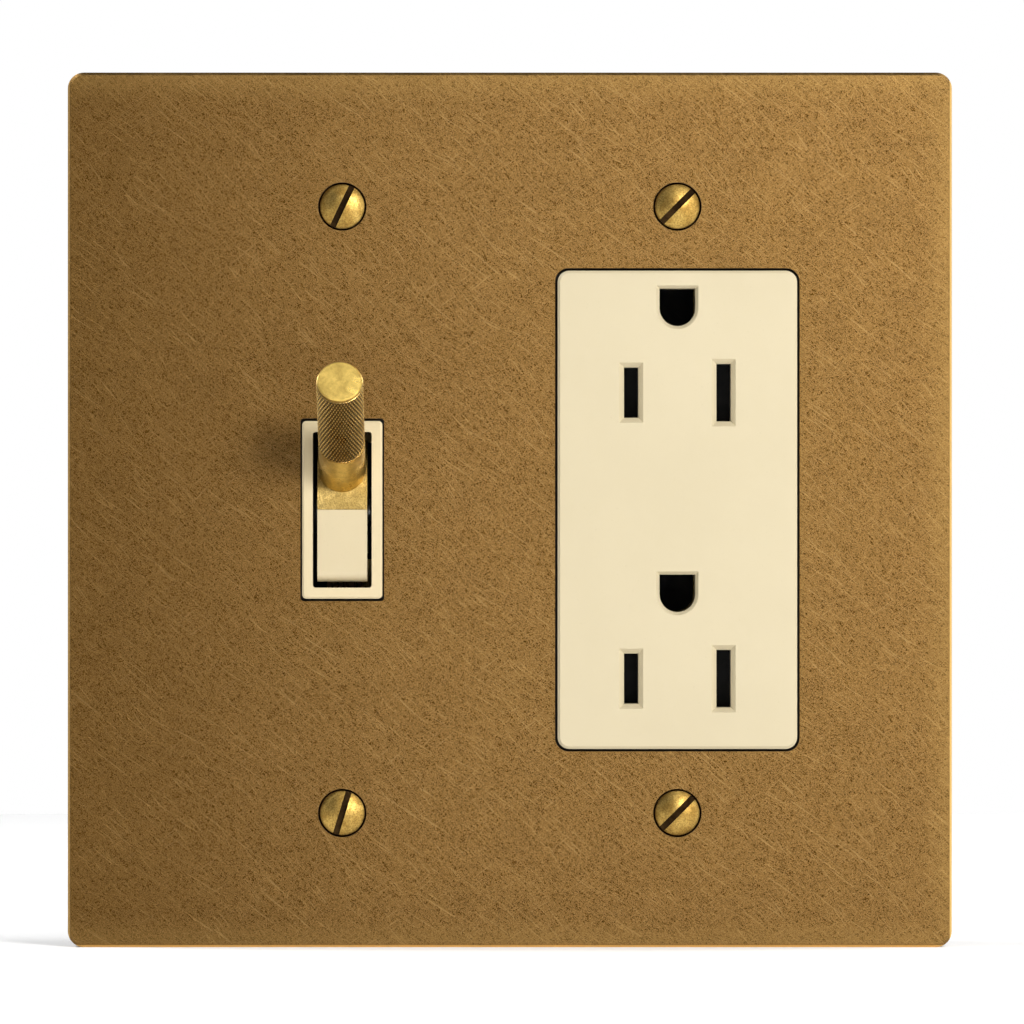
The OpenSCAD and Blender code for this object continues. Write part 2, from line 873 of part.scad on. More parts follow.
// a slider whose two windows come under the slots when it is pushed right
module shutter(z) {
    color([0.05, 0.05, 0.055])
    difference() {
        block(xr - 11.8, xr + 8.2, shutter_y, shutter_y + shutter_t, z - 4.55, z + 4.55);
        for (s = [-1, 1]) {
            block(xr + s * slot_x - shutter_travel - 1.4, xr + s * slot_x - shutter_travel + 1.4,
                  3, 6, z - 4.05, z + 4.05);
        }
    }
}

module upper_shutter() {
    shutter(upper_slot_z);
}

module lower_shutter() {
    shutter(lower_slot_z);
}

module shutter_spring(z) {
    color([0.7, 0.71, 0.73])
    translate([xr + 8.25, shutter_y + 1.15, z])
        rotate([0, 90, 0])
            coil(0.95, 0.2, 6.2, 5);
}

module upper_shutter_spring() {
    shutter_spring(upper_slot_z);
}

module lower_shutter_spring() {
    shutter_spring(lower_slot_z);
}

// one side's contacts: s is -1 for the left side, +1 for the right
module side_bus(s) {
    for (z = outlets) {
        for (e = [-1, 1]) {
            x = xr + s * slot_x + e * (blade_gap + leaf_t) / 2;
            block(x - leaf_t / 2, x + leaf_t / 2, 8, 20.6, z - 3.6, z + 3.6);
        }
        block(xr + (s < 0 ? -13.4 : slot_x - 1.35), xr + (s < 0 ? -slot_x + 1.35 : 13.4),
              20.4, 21.0, z - 3.6, z + 3.6);
    }
    difference() {
        block(xr + s * 13 - 0.45, xr + s * 13 + 0.45, 9, 21.0, -24.8, 21.4);
        for (z = [-9.6, 9.6]) {
            rod_x(14.6, z, xr + s * 13 - 2, xr + s * 13 + 2, 1.8);
        }
    }
}

module hot_bus() {
    color([0.82, 0.66, 0.34])
        side_bus(-1);
}

module neutral_bus() {
    color([0.78, 0.79, 0.80])
        side_bus(1);
}

module ground_bus() {
    strip_x = xr - 4.2;
    color([0.78, 0.72, 0.5]) {
        for (z = outlets) {
            pin_z = z + ground_rise;
            // a clip round the pin, open at the top
            slab(xr, pin_z, 9, 18)
                difference() {
                    union() {
                        circle(r = 3.0);
                        translate([-3, 0])
                            square([6, ground_top]);
                    }
                    circle(r = 2.5);
                    translate([-2.5, 0])
                        square([5, 5]);
                }
            block(strip_x + 0.4, xr - 2.6, 14, 18, pin_z - 2, pin_z + 2);
        }
        block(strip_x, strip_x + 0.8, 14, 19, -32.2, upper_slot_z + ground_rise + 2);
        block(strip_x, xr - 1.0, 0, 19, -32.2, -31.4);
    }
}

module hot_terminal_screws() {
    color([0.84, 0.68, 0.36])
    for (z = [-9.6, 9.6]) {
        binding_screw(xr - 15, 14.6, z, -1, 4.4, 3.9);
    }
}

module neutral_terminal_screws() {
    color([0.80, 0.81, 0.82])
    for (z = [-9.6, 9.6]) {
        binding_screw(xr + 15, 14.6, z, 1, 4.4, 3.9);
    }
}

module receptacle_ground_screw() {
    color([0.15, 0.45, 0.22])
        binding_screw(xr - 12.9, 5.4, -40, -1, 6.5, 3.3);
}

faceplate();
faceplate_screws();
captive_washers();
switch_strap();
switch_front_cover();
switch_housing();
rocker();
lever_crown();
lever_neck();
lever_grip();
lever_end_cap();
lever_stud();
pivot_pin();
snap_spring();
snap_plunger();
contact_arm();
moving_contact();
common_terminal();
fixed_contact_terminal();
fixed_contact();
switch_terminal_screws();
switch_ground_screw();
switch_rivets();
receptacle_face();
receptacle_strap();
receptacle_base();
shutter_deck();
upper_shutter();
lower_shutter();
upper_shutter_spring();
lower_shutter_spring();
hot_bus();
neutral_bus();
ground_bus();
hot_terminal_screws();
neutral_terminal_screws();
receptacle_ground_screw();
receptacle_tie_screws();
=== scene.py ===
import math

import bmesh
import bpy
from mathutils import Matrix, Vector


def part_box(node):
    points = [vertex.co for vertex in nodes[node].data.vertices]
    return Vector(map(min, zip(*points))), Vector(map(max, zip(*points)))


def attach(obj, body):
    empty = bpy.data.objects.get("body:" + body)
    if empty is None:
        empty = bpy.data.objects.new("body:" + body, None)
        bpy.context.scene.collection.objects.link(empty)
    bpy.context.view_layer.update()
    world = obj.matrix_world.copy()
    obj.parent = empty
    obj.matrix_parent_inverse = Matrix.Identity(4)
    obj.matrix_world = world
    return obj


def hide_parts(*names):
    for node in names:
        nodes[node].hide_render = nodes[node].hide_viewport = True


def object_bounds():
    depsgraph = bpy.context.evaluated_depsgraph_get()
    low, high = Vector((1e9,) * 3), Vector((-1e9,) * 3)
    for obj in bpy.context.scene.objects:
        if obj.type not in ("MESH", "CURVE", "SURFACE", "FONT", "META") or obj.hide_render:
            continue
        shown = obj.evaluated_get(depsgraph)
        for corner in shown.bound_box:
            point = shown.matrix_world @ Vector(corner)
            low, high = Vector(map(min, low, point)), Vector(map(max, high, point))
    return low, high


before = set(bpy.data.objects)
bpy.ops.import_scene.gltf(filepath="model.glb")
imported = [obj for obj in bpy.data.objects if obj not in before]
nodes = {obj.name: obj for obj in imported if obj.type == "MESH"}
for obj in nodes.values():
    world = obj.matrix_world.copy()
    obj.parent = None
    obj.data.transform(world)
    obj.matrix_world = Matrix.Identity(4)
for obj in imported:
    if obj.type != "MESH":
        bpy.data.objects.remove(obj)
cad_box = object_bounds()
MM = 0.001
ROOT, LEVER = "wall_unit", "lever"

# the lever's own axes: the pivot pin's centre, and the direction of the tip at rest
pin_lo, pin_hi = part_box("pivot_pin")
PIVOT = (pin_lo + pin_hi) / 2
TILT = math.radians(28)
ALONG = Vector((0, -math.cos(TILT), math.sin(TILT)))
ACROSS = Vector((1, 0, 0))
OVER = ALONG.cross(ACROSS) * -1


# ---------- camera and lights ----------

def look_at(obj, target):
    obj.rotation_euler = (Vector(target) - obj.location).to_track_quat("-Z", "Y").to_euler()


plate_lo, plate_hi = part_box("faceplate")
FRONT_Y = plate_lo.y
LENS, SENSOR, VIEW_WIDTH = 350.0, 36.0, 0.1407

cam_data = bpy.data.cameras.new("camera")
cam_data.lens, cam_data.sensor_width = LENS, SENSOR
cam_data.clip_start, cam_data.clip_end = 0.01, 50
camera = bpy.data.objects.new("camera", cam_data)
camera.location = (0.0003, FRONT_Y - VIEW_WIDTH * LENS / SENSOR, -0.0003)
camera.rotation_euler = (math.pi / 2, 0, 0)
bpy.context.scene.collection.objects.link(camera)
bpy.context.scene.camera = camera
bpy.context.scene.view_settings.view_transform = "Standard"


def softbox(name, where, target, size, power, colour=(1, 1, 1)):
    data = bpy.data.lights.new(name, "AREA")
    data.shape, data.size, data.energy, data.color = "DISK", size, power, colour
    obj = bpy.data.objects.new(name, data)
    obj.location = where
    look_at(obj, target)
    bpy.context.scene.collection.objects.link(obj)


softbox("key", (0.30, -0.64, 0.28), (0, 0, 0), 0.21, 5.0, (1.0, 0.98, 0.95))
softbox("right", (0.50, -0.36, 0.00), (0, 0, 0), 0.40, 0.55, (1.0, 0.98, 0.95))
softbox("edge_right", (0.70, -0.02, 0.00), (0, 0, 0), 0.80, 1.6, (1.0, 0.97, 0.92))
softbox("edge_left", (-0.70, -0.02, 0.00), (0, 0, 0), 0.80, 1.0, (1.0, 0.95, 0.88))
softbox("cap", (0.04, -0.30, 0.44), (-0.023, -0.03, 0.02), 0.20, 0.25)
softbox("top_left", (-0.62, 0.10, 0.72), (-0.02, 0.30, -0.06), 0.50, 6.5)
softbox("top_right", (0.62, 0.10, 0.72), (0.02, 0.30, -0.06), 0.50, 4.4)
softbox("rear", (0.30, 0.70, 0.40), (0, 0, 0), 0.60, 1.5)

world = bpy.data.worlds.new("studio")
world.use_nodes = True
bpy.context.scene.world = world
wt = world.node_tree
wt.nodes.clear()
w_out = wt.nodes.new("ShaderNodeOutputWorld")
w_mix = wt.nodes.new("ShaderNodeMixShader")
w_path = wt.nodes.new("ShaderNodeLightPath")
w_seen = wt.nodes.new("ShaderNodeBackground")
w_seen.inputs["Color"].default_value = (1, 1, 1, 1)
w_seen.inputs["Strength"].default_value = 1.0
w_light = wt.nodes.new("ShaderNodeBackground")
w_coord = wt.nodes.new("ShaderNodeTexCoord")
w_axes = wt.nodes.new("ShaderNodeSeparateXYZ")
w_height = wt.nodes.new("ShaderNodeMapRange")
w_height.inputs["From Min"].default_value, w_height.inputs["From Max"].default_value = -1, 1
w_ramp = wt.nodes.new("ShaderNodeValToRGB")
w_ramp.color_ramp.elements[0].color = (0.30, 0.29, 0.28, 1)
w_ramp.color_ramp.elements[1].color = (0.75, 0.77, 0.80, 1)
wt.links.new(w_coord.outputs["Generated"], w_axes.inputs[0])
wt.links.new(w_axes.outputs["Z"], w_height.inputs["Value"])
wt.links.new(w_height.outputs["Result"], w_ramp.inputs["Fac"])
wt.links.new(w_ramp.outputs["Color"], w_light.inputs["Color"])
w_light.inputs["Strength"].default_value = 0.22
wt.links.new(w_path.outputs["Is Camera Ray"], w_mix.inputs["Fac"])
wt.links.new(w_light.outputs[0], w_mix.inputs[1])
wt.links.new(w_seen.outputs[0], w_mix.inputs[2])
wt.links.new(w_mix.outputs[0], w_out.inputs["Surface"])


# ---------- materials ----------

class Mat:
    """A Principled material whose maps are placed in the object's own metres."""

    def __init__(self, name, base, metallic, roughness, **uniform):
        self.m = bpy.data.materials.new(name)
        self.m.use_nodes = True
        self.t = self.m.node_tree
        self.bsdf = self.t.nodes["Principled BSDF"]
        self.bsdf.inputs["Metallic"].default_value = metallic
        self.bsdf.inputs["Roughness"].default_value = roughness
        self.bsdf.inputs["Base Color"].default_value = (*base, 1)
        for key, value in uniform.items():
            self.bsdf.inputs[key.replace("_", " ")].default_value = value
        self.coord = self.t.nodes.new("ShaderNodeTexCoord").outputs["Object"]
        self.height = None

    def node(self, kind, props=None, **values):
        n = self.t.nodes.new("ShaderNode" + kind)
        for k, v in (props or {}).items():
            setattr(n, k, v)
        for k, v in values.items():
            self.put(n.inputs[k.replace("_", " ")], v)
        return n

    def put(self, socket, value):
        if isinstance(value, bpy.types.NodeSocket):
            self.t.links.new(value, socket)
        elif isinstance(value, (tuple, list)) and len(value) == 3 and socket.type == "RGBA":
            socket.default_value = (*value, 1)
        else:
            socket.default_value = value

    def noise(self, scale, detail=4.0, rough=0.55, distort=0.0, coord=None):
        return self.node("TexNoise", Vector=coord or self.coord, Scale=scale, Detail=detail,
                         Roughness=rough, Distortion=distort).outputs["Fac"]

    def remap(self, value, lo, hi, out_lo=0.0, out_hi=1.0):
        n = self.node("MapRange", {"interpolation_type": "SMOOTHSTEP"})
        limits = {"From Min": lo, "From Max": hi, "To Min": out_lo, "To Max": out_hi}
        self.put(n.inputs["Value"], value)
        for socket, limit in limits.items():
            self.put(n.inputs[socket], limit)
        return n.outputs["Result"]

    def math(self, op, a, b=0.0):
        n = self.node("Math", {"operation": op})
        self.put(n.inputs[0], a)
        self.put(n.inputs[1], b)
        return n.outputs[0]

    def mix(self, fac, a, b):
        n = self.node("Mix", {"data_type": "RGBA", "blend_type": "MIX", "clamp_factor": True})
        self.put(n.inputs[0], fac)
        self.put(n.inputs[6], a)
        self.put(n.inputs[7], b)
        return n.outputs[2]

    def warped(self, scale, amount):
        """The object's coordinates pushed about by a soft noise, so that lines curve."""
        n = self.node("TexNoise", Vector=self.coord, Scale=scale, Detail=1.0)
        off = self.node("VectorMath", {"operation": "SUBTRACT"})
        self.put(off.inputs[0], n.outputs["Color"])
        off.inputs[1].default_value = (0.5, 0.5, 0.5)
        mul = self.node("VectorMath", {"operation": "SCALE"})
        self.put(mul.inputs[0], off.outputs[0])
        mul.inputs["Scale"].default_value = amount
        add = self.node("VectorMath", {"operation": "ADD"})
        self.put(add.inputs[0], self.coord)
        self.put(add.inputs[1], mul.outputs[0])
        return add.outputs[0]

    def streaks(self, coord, angle, length, width, lo, hi, shift=0.0, detail=1.0):
        """Thin lines at an angle in the XZ plane: bright where a stretched noise is high."""
        m = self.node("Mapping", {"vector_type": "TEXTURE"}, Vector=coord)
        m.inputs["Location"].default_value = (shift, shift * 0.7, shift * 0.3)
        m.inputs["Rotation"].default_value = (0, math.radians(angle), 0)
        m.inputs["Scale"].default_value = (length, length, width)
        return self.remap(self.noise(1.0, detail, coord=m.outputs[0]), lo, hi)

    def from_axis(self, origin, along):
        """Distance from a line, in metres."""
        off = self.node("VectorMath", {"operation": "SUBTRACT"})
        self.put(off.inputs[0], self.coord)
        off.inputs[1].default_value = origin
        cross = self.node("VectorMath", {"operation": "CROSS_PRODUCT"})
        self.put(cross.inputs[0], off.outputs[0])
        cross.inputs[1].default_value = along
        size = self.node("VectorMath", {"operation": "LENGTH"})
        self.put(size.inputs[0], cross.outputs[0])
        return size.outputs["Value"]

    def most(self, values):
        total = values[0]
        for v in values[1:]:
            total = self.math("MAXIMUM", total, v)
        return total

    def raise_by(self, value, amount):
        """Adds to the height map; the amount is in metres."""
        h = self.math("MULTIPLY", value, amount)
        self.height = h if self.height is None else self.math("ADD", self.height, h)

    def done(self, base, rough=None):
        self.put(self.bsdf.inputs["Base Color"], base)
        if rough is not None:
            self.put(self.bsdf.inputs["Roughness"], rough)
        if self.height is not None:
            n = self.node("Bump", Strength=1.0, Distance=1.0, Height=self.height)
            self.t.links.new(n.outputs["Normal"], self.bsdf.inputs["Normal"])
        return self.m


def antique_plate():
    """Brass darkened by hand: clouds of patina, a felt-like grain and faint crossing scratches."""
    bevel_start, bevel_end = 0.9935, 0.9965
    m = Mat("plate_brass", (0.30, 0.17, 0.05), 1.0, 0.50)
    bent = m.warped(60.0, 0.003)
    fine = m.most([m.streaks(bent, a, le * MM, 0.16 * MM, lo, lo + 0.10, i * 0.37)
                   for i, (a, le, lo) in enumerate([(-38, 1.0, 0.53), (44, 1.1, 0.51), (32, 0.9, 0.52),
                                                    (58, 0.9, 0.53), (-12, 0.8, 0.57), (-76, 0.8, 0.57)])])
    worn = m.most([m.streaks(bent, a, le * MM, 0.17 * MM, 0.53, 0.63, 7 + i * 0.43)
                   for i, (a, le) in enumerate([(-48, 0.9), (40, 1.0), (64, 0.8)])])
    long = m.most([m.streaks(bent, a, le * MM, w * MM, 0.665, 0.71, 3 + i * 0.61)
                   for i, (a, le, w) in enumerate([(36, 7, 0.16), (50, 6, 0.16), (-36, 6, 0.15)])])
    mottle = m.noise(210.0, 3.0, 0.5, 0.8)
    cloud = m.noise(34.0, 4.0, 0.55, 0.6)
    grain = m.noise(6200.0, 1.0, 0.5)
    spark = m.noise(6800.0, 1.0, 0.5, 0.3)
    base = m.mix(m.remap(cloud, 0.32, 0.70), (0.122, 0.055, 0.0070), (0.157, 0.076, 0.0125))
    base = m.mix(m.remap(mottle, 0.34, 0.56, 0.22, 0.0), base, (0.084, 0.038, 0.008))
    base = m.mix(m.math("MULTIPLY", worn, 0.38), base, (0.062, 0.028, 0.005))
    base = m.mix(m.remap(grain, 0.30, 0.64, 0.94, 0.0), base, (0.032, 0.014, 0.002))
    base = m.mix(m.remap(spark, 0.47, 0.66, 0.0, 0.85), base, (0.41, 0.24, 0.085))
    base = m.mix(m.math("MULTIPLY", fine, 0.52), base, (0.40, 0.235, 0.075))
    base = m.mix(m.math("MULTIPLY", long, 0.50), base, (0.46, 0.29, 0.11))
    # how far out towards the plate's edges a point lies, from 0 at the centre to 1 at the edge
    axes = m.node("SeparateXYZ", Vector=m.coord)
    x, y, z = (axes.outputs[k] for k in "XYZ")
    rightward = m.math("DIVIDE", x, plate_hi.x)
    downward = m.math("DIVIDE", z, -plate_hi.z)
    sideways = m.math("DIVIDE", m.math("ABSOLUTE", x), plate_hi.x)
    endways = m.math("DIVIDE", m.math("ABSOLUTE", z), plate_hi.z)
    outer = m.math("MAXIMUM", sideways, endways)
    # painted shade makes the plate darker on the left, and painted light makes it lighter near the right,
    # top and bottom edges, all under a dull film
    base = m.mix(m.remap(x, -0.066, 0.0, 0.44, 0.0), base, (0.075, 0.033, 0.004))
    painted_edge_light = m.remap(m.math("MAXIMUM", rightward, endways), 0.92, 1.0, 0.0, 0.15)
    base = m.mix(painted_edge_light, base, (0.60, 0.38, 0.12))
    base = m.mix(0.25, base, (0.006, 0.002, 0.0))
    # painted highlight along the front bevel, strongest at the right and below, weaker at the left, and none
    # above
    bevel_highlight = m.remap(m.math("MAXIMUM", rightward, downward), bevel_start, bevel_end, 0.0, 0.75)
    bevel_highlight_left = m.remap(x, -bevel_end * plate_hi.x, -bevel_start * plate_hi.x, 0.30, 0.0)
    on_front = m.remap(y, -3.45 * MM, -3.30 * MM, 1.0, 0.0)
    bevel_highlight = m.math("MULTIPLY", m.math("MAXIMUM", bevel_highlight, bevel_highlight_left), on_front)
    base = m.mix(bevel_highlight, base, (0.92, 0.60, 0.20))
    # painted shade down in the counterbores and window edges
    below_face = m.remap(y, -3.80 * MM, -3.45 * MM)
    above_sheet_back = m.remap(y, -2.10 * MM, -2.04 * MM, 1.0, 0.0)
    deep = m.math("MULTIPLY", below_face, above_sheet_back)
    deep = m.math("MULTIPLY", deep, m.remap(outer, 0.97, 0.975, 1.0, 0.0))
    base = m.mix(m.math("MULTIPLY", deep, 0.95), base, (0.012, 0.007, 0.003))
    rough = m.remap(mottle, 0.3, 0.7, 0.56, 0.46)
    rough = m.math("SUBTRACT", rough, m.remap(outer, bevel_start, bevel_end, 0.0, 0.14))
    m.raise_by(grain, 0.000008)
    m.raise_by(fine, -0.000005)
    m.raise_by(long, -0.000007)
    return m.done(base, rough)


def bright_brass(name, light, deep, roughness, grain_size=3000.0, grain=0.000003, speckle=0.0, dirt_and_shade_grooves=None):
    """Polished brass with cloudy patina and scratches; the groove radii, in mm, bound the knurl's grooves,
    which are darkened with dirt and painted shade.
    """
    m = Mat(name, light, 1.0, roughness)
    patina = m.noise(420.0, 5.0, 0.6, 0.5)
    fine = m.noise(grain_size, 2.0, 0.6)
    bent = m.warped(200.0, 0.001)
    lines = m.most([m.streaks(bent, a, 3 * MM, 0.07 * MM, 0.60, 0.68, a * 0.01) for a in (20, 65, -35)])
    base = m.mix(m.remap(patina, 0.38, 0.68), light, deep)
    base = m.mix(m.remap(fine, 0.35, 0.7, 0.0, 0.18 + speckle), base, [c * 0.45 for c in deep])
    if dirt_and_shade_grooves:
        # the grooves darkened towards their floors: dirt, and painted shade
        groove_dirt_and_shade = m.remap(m.from_axis(PIVOT, ALONG), dirt_and_shade_grooves[0] * MM, dirt_and_shade_grooves[1] * MM, 0.90, 0.0)
        base = m.mix(groove_dirt_and_shade, base, (0.115, 0.064, 0.018))
    rough = m.remap(patina, 0.3, 0.7, roughness, roughness + 0.12)
    rough = m.math("ADD", rough, m.math("MULTIPLY", lines, 0.08))
    m.raise_by(fine, grain)
    m.raise_by(lines, -0.000003)
    return m.done(base, rough)


def stamped_metal(name, light, deep, roughness, angle=90, gap=False):
    """Rolled or plated sheet: a long grain one way, cloudy plating and small dark marks.

    With gap, the strip of strap that shows round the devices is darkened, as it lies in deep shade.
    """
    m = Mat(name, light, 1.0, roughness)
    roll = m.node("Mapping", {"vector_type": "TEXTURE"}, Vector=m.coord)
    roll.inputs["Rotation"].default_value = (0, math.radians(angle), 0)
    roll.inputs["Scale"].default_value = (0.02, 0.0004, 0.0002)
    grain = m.noise(1.0, 3.0, 0.6, coord=roll.outputs[0])
    cloud = m.noise(220.0, 4.0, 0.6, 0.8)
    spots = m.remap(m.noise(1500.0, 2.0), 0.62, 0.72)
    base = m.mix(m.remap(cloud, 0.35, 0.68), light, deep)
    base = m.mix(m.math("MULTIPLY", spots, 0.35), base, [c * 0.35 for c in deep])
    if gap:
        axes = m.node("SeparateXYZ", Vector=m.coord)
        by_window = m.remap(m.math("ABSOLUTE", axes.outputs["Z"]), 34.0 * MM, 35.0 * MM, 1.0, 0.0)
        on_front = m.remap(axes.outputs["Y"], -1.3 * MM, -1.2 * MM, 1.0, 0.0)
        shade = m.math("MULTIPLY", m.math("MULTIPLY", by_window, on_front), 0.96)
        base = m.mix(shade, base, (0.012, 0.010, 0.008))
    rough = m.remap(grain, 0.3, 0.7, roughness - 0.06, roughness + 0.14)
    m.raise_by(grain, 0.000004)
    m.raise_by(spots, -0.000003)
    return m.done(base, rough)


def plastic(name, light, shade, roughness, peel=0.000004, speck=0.0, coat=0.0, gap=False):
    """Moulded plastic: faint mould texture, slight tone drift and a few specks.

    With gap, the sides and shelf down in the plate's window are darkened, as they lie in deep shade.
    """
    m = Mat(name, light, 0.0, roughness, Coat_Weight=coat, Coat_Roughness=0.18)
    drift = m.noise(60.0, 3.0, 0.5)
    skin = m.noise(900.0, 3.0, 0.5)
    dust = m.remap(m.noise(2400.0, 1.0), 0.68, 0.76)
    base = m.mix(m.remap(drift, 0.3, 0.7), light, shade)
    base = m.mix(m.math("MULTIPLY", dust, speck), base, [c * 0.55 for c in shade])
    if gap:
        y = m.node("SeparateXYZ", Vector=m.coord).outputs["Y"]
        below_face = m.remap(y, -3.5 * MM, -2.9 * MM)
        before_back = m.remap(y, -0.15 * MM, -0.05 * MM, 1.0, 0.0)
        deep = m.math("MULTIPLY", m.math("MULTIPLY", below_face, before_back), 0.97)
        base = m.mix(deep, base, (0.010, 0.008, 0.006))
    rough = m.remap(skin, 0.3, 0.7, roughness - 0.05, roughness + 0.08)
    m.raise_by(skin, peel)
    return m.done(base, rough)


def phenolic(name):
    """Dark moulded body: flow marks, a fine skin and a few pale scuffs."""
    m = Mat(name, (0.030, 0.024, 0.021), 0.0, 0.42)
    flow = m.noise(90.0, 6.0, 0.6, 1.6)
    skin = m.noise(1400.0, 3.0, 0.6)
    scuff = m.streaks(m.warped(90.0, 0.003), 35, 6 * MM, 0.16 * MM, 0.62, 0.70)
    base = m.mix(m.remap(flow, 0.4, 0.7), (0.028, 0.022, 0.019), (0.060, 0.042, 0.032))
    base = m.mix(m.math("MULTIPLY", scuff, 0.35), base, (0.13, 0.11, 0.10))
    m.raise_by(skin, 0.000008)
    m.raise_by(flow, 0.000010)
    return m.done(base, m.remap(skin, 0.3, 0.7, 0.36, 0.52))


def fibre(name):
    """Red pressed fibre with a felted surface."""
    m = Mat(name, (0.30, 0.06, 0.04), 0.0, 0.8)
    felt = m.noise(1800.0, 5.0, 0.7, 0.6)
    base = m.mix(m.remap(felt, 0.3, 0.7), (0.22, 0.045, 0.03), (0.40, 0.10, 0.06))
    m.raise_by(felt, 0.00003)
    return m.done(base, m.remap(felt, 0.3, 0.7, 0.7, 0.9))


PLATE = antique_plate()
SCREW = bright_brass("screw_brass", (0.56, 0.37, 0.10), (0.34, 0.20, 0.045), 0.34, grain_size=4800.0,
                     grain=0.000030, speckle=0.45)
# dark brass for the screw slots: painted shade down in the slots
SLOT_SHADE = bright_brass("slot_painted_shade", (0.060, 0.034, 0.012), (0.025, 0.014, 0.006), 0.62)
LEVER_BRASS = bright_brass("lever_brass", (0.72, 0.50, 0.13), (0.50, 0.34, 0.085), 0.25)
CROWN = bright_brass("crown_brass", (0.58, 0.41, 0.14), (0.42, 0.29, 0.09), 0.40,
                     grain_size=4600.0, grain=0.000045, speckle=0.45)
# the knurl's grooves are darkened with dirt and painted shade
KNURL = bright_brass("knurl_brass", (0.78, 0.55, 0.20), (0.58, 0.39, 0.13), 0.24, dirt_and_shade_grooves=(3.03, 3.18))
IVORY = plastic("ivory", (0.532, 0.462, 0.308), (0.516, 0.447, 0.296), 0.38,
                coat=0.10, speck=0.10, gap=True)
IVORY_ROCKER = plastic("ivory_rocker", (0.555, 0.470, 0.300), (0.540, 0.455, 0.290), 0.38,
                       coat=0.10, speck=0.10)
# a lighter copy of the ivory for the collar: painted light, brightening it against the lever's shadow
IVORY_COLLAR_LIT = plastic("ivory_collar_lit", (0.600, 0.500, 0.310), (0.580, 0.482, 0.297), 0.38,
                       coat=0.10, speck=0.10, gap=True)
DARK = phenolic("body_phenolic")
BLACK = plastic("black_nylon", (0.004, 0.004, 0.0045), (0.007, 0.007, 0.0075), 0.62, peel=0.00001)
ACETAL = plastic("acetal", (0.72, 0.70, 0.64), (0.66, 0.64, 0.58), 0.45)
ZINC = stamped_metal("zinc_steel", (0.66, 0.67, 0.68), (0.48, 0.48, 0.47), 0.34)
STRAP = stamped_metal("strap_zinc", (0.66, 0.67, 0.68), (0.48, 0.48, 0.47), 0.34, gap=True)
WIRE = stamped_metal("spring_wire", (0.60, 0.60, 0.61), (0.42, 0.42, 0.43), 0.28, angle=0)
STRIP = stamped_metal("contact_brass", (0.80, 0.60, 0.26), (0.62, 0.42, 0.16), 0.30)
COPPER = stamped_metal("contact_copper", (0.76, 0.42, 0.24), (0.56, 0.28, 0.15), 0.30)
SILVER = stamped_metal("contact_silver", (0.86, 0.86, 0.85), (0.70, 0.69, 0.66), 0.22)
NICKEL = stamped_metal("nickel_strip", (0.50, 0.48, 0.44), (0.36, 0.34, 0.31), 0.32)
GREEN = stamped_metal("green_zinc", (0.05, 0.30, 0.12), (0.03, 0.19, 0.08), 0.34)
FIBRE = fibre("fibre")

LOOKS = {
    PLATE: ["faceplate"],
    LEVER_BRASS: ["lever_neck", "lever_end_cap"],
    CROWN: ["lever_crown"],
    IVORY: ["receptacle_face"],
    IVORY_COLLAR_LIT: ["switch_front_cover"],
    IVORY_ROCKER: ["rocker"],
    DARK: ["switch_housing", "receptacle_base"],
    BLACK: ["shutter_deck", "upper_shutter", "lower_shutter"],
    ACETAL: ["snap_plunger"],
    ZINC: ["switch_rivets", "receptacle_tie_screws", "pivot_pin", "lever_stud"],
    STRAP: ["switch_strap", "receptacle_strap"],
    WIRE: ["snap_spring", "upper_shutter_spring", "lower_shutter_spring"],
    STRIP: ["common_terminal", "fixed_contact_terminal", "hot_bus", "ground_bus",
            "switch_terminal_screws", "hot_terminal_screws"],
    COPPER: ["contact_arm"],
    SILVER: ["moving_contact", "fixed_contact"],
    NICKEL: ["neutral_bus", "neutral_terminal_screws"],
    GREEN: ["switch_ground_screw", "receptacle_ground_screw"],
    FIBRE: ["captive_washers"],
}
# how far each node's edges are rounded, in mm, where it isn't the usual 0.04
ROUND = {"faceplate": 0.12, "switch_front_cover": 0.22, "rocker": 0.18, "receptacle_face": 0.28,
         "switch_housing": 0.35, "receptacle_base": 0.35, "switch_strap": 0.12, "receptacle_strap": 0.12,
         "lever_crown": 0.08, "lever_neck": 0.08,
         "switch_terminal_screws": 0.12, "hot_terminal_screws": 0.12, "neutral_terminal_screws": 0.12,
         "switch_ground_screw": 0.12, "receptacle_ground_screw": 0.12, "switch_rivets": 0.15,
         "receptacle_tie_screws": 0.10, "common_terminal": 0.08, "fixed_contact_terminal": 0.08,
         "contact_arm": 0.08, "hot_bus": 0.06, "neutral_bus": 0.06, "ground_bus": 0.08,
         "upper_shutter": 0.10, "lower_shutter": 0.10, "shutter_deck": 0.10}


def wear(obj, mat):
    obj.data.materials.clear()
    obj.data.materials.append(mat)
    for p in obj.data.polygons:
        p.material_index = 0
        p.use_smooth = True


def round_edges(obj, width_mm):
    """Merges flat faces, rounds the sharp edges and evens the shading, without touching the mesh."""
    flat = obj.modifiers.new("flat_faces", "DECIMATE")
    flat.decimate_type, flat.angle_limit = "DISSOLVE", math.radians(0.6)
    bev = obj.modifiers.new("edges", "BEVEL")
    bev.width, bev.segments = width_mm * MM, 2
    bev.limit_method, bev.angle_limit = "ANGLE", math.radians(32)
    bev.use_clamp_overlap, bev.miter_outer = True, "MITER_ARC"
    norm = obj.modifiers.new("shading", "WEIGHTED_NORMAL")
    norm.weight, norm.keep_sharp = 60, False


def crisp_edges(obj):
    """Keeps a turned piece's chamfer sharp, with smooth shading round the axis."""
    split = obj.modifiers.new("crisp_edges", "EDGE_SPLIT")
    split.split_angle = math.radians(30)


for mat, names in LOOKS.items():
    for name in names:
        wear(nodes[name], mat)
        if name == "lever_end_cap":
            crisp_edges(nodes[name])
        else:
            round_edges(nodes[name], ROUND.get(name, 0.04))


# ---------- pieces ----------

